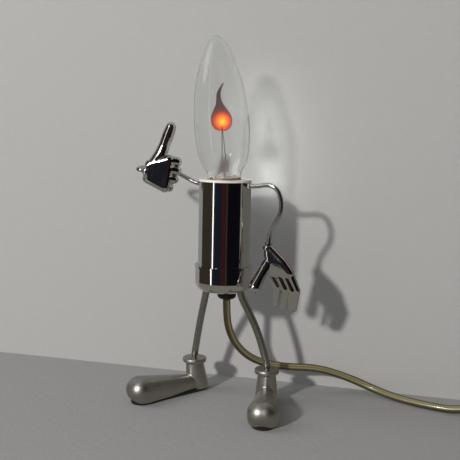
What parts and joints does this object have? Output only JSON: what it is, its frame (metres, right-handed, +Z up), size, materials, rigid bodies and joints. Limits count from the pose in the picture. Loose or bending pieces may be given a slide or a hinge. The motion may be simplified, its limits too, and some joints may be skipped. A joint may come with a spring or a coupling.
{
  "type": "robot shaped desk lamp",
  "caption": "Small chrome desk lamp in the shape of a standing robot, with a clear flame bulb as its head, posable arms and hands, cast shoes and a plug-in cord.",
  "frame": {"origin": "on the ground below the middle of the lamp's outline, cord left out", "axes": "+Z up, the robot faces -Y, +X points to the robot's left"},
  "size_m": [0.3692, 0.0983, 0.2347],
  "materials": {
    "chrome": "polished",
    "steel_rod": "polished",
    "leg_steel": "satin",
    "cast_nickel": "satin cast",
    "white_plastic": "gloss",
    "black_rubber": "matt",
    "bakelite": "gloss",
    "brass": "bright",
    "glass": "clear",
    "nylon": "matt",
    "steel": "plated",
    "flame": "glowing plate",
    "wire_brown": "gloss",
    "wire_blue": "gloss",
    "cord_pvc": "translucent gloss",
    "black_plastic": "satin"
  },
  "bodies": {
    "torso": {"body_tube": "chrome", "base_cup": "chrome", "top_ring": "white_plastic", "shoulder_bush_left": "nylon", "shoulder_bush_right": "nylon", "socket_body": "bakelite", "socket_shell": "brass", "socket_centre_contact": "brass", "socket_terminals": "brass", "terminal_screws": "steel", "socket_holder": "nylon", "grommet": "black_rubber", "cord_inlet": "cord_pvc", "cord_clamp": "nylon", "wire_live": "wire_brown", "wire_neutral": "wire_blue", "leg_left": "leg_steel", "leg_right": "leg_steel", "leg_nuts": "steel", "ankle_screws": "steel", "cord_lead": "cord_pvc", "cord_coil": "cord_pvc", "switch_base": "black_plastic", "switch_cover": "black_plastic", "plug_body": "black_plastic", "plug_blades": "brass"},
    "arm_left": {"arm_left": "steel_rod", "arm_collar_left": "steel"},
    "arm_right": {"arm_right": "steel_rod", "arm_collar_right": "steel"},
    "hand_left": {"hand_left": "chrome"},
    "hand_right": {"hand_right": "chrome"},
    "shoe_left": {"shoe_left": "cast_nickel", "sole_left": "black_rubber"},
    "shoe_right": {"shoe_right": "cast_nickel", "sole_right": "black_rubber"},
    "bulb_contact": {"bulb_eyelet": "brass"},
    "bulb": {"bulb_glass": "glass", "bulb_cap": "brass", "bulb_insulator": "bakelite", "bulb_stem": "glass", "bulb_leads": "steel", "flame_plate_front": "flame", "flame_plate_back": "flame"},
    "rocker": {"switch_rocker": "black_plastic"}
  },
  "joints": [
    {"name": "shoulder_left_swing", "type": "hinge", "parent": "torso", "child": "arm_left", "pos_m": [0.00355, 0.00645, 0.1428], "axis": [1, 0, 0], "range_deg": [-130, 45]},
    {"name": "shoulder_right_swing", "type": "hinge", "parent": "torso", "child": "arm_right", "pos_m": [0.00355, 0.00645, 0.1428], "axis": [1, 0, 0], "range_deg": [-60, 90]},
    {"name": "wrist_left_swivel", "type": "hinge", "parent": "arm_left", "child": "hand_left", "pos_m": [0.03395, 0.00645, 0.107], "axis": [-0.124, 0, -0.9923], "range_deg": [-70, 10]},
    {"name": "wrist_right_swivel", "type": "hinge", "parent": "arm_right", "child": "hand_right", "pos_m": [-0.04555, -0.00935, 0.1504], "axis": [0.9535, 0.2617, -0.1496], "range_deg": [-25, 25]},
    {"name": "ankle_left_swivel", "type": "hinge", "parent": "torso", "child": "shoe_left", "pos_m": [0.0302, 0.01935, 0.02], "axis": [0, 0, 1], "range_deg": [-30, 25]},
    {"name": "ankle_right_swivel", "type": "hinge", "parent": "torso", "child": "shoe_right", "pos_m": [-0.0231, 0.01935, 0.02], "axis": [0, 0, 1], "range_deg": [-25, 30]},
    {"name": "bulb_lift", "type": "slide", "parent": "torso", "child": "bulb_contact", "axis": [-0.0744, -0.0343, 0.9966], "range_m": [0, 0.01]},
    {"name": "bulb_unscrew", "type": "hinge", "parent": "bulb_contact", "child": "bulb", "pos_m": [0.00355, 0.00645, 0.1458], "axis": [-0.0744, -0.0343, 0.9966], "range_deg": [0, 1260]},
    {"name": "rocker_tilt", "type": "hinge", "parent": "torso", "child": "rocker", "pos_m": [0.21053, 0.05407, 0.0138], "axis": [0.0357, 0.9994, 0], "range_deg": [-11, 0]}
  ],
  "couplings": [
    {"joint": "bulb_lift", "follows": "bulb_unscrew", "m_per_rad": 0.00044913}
  ]
}
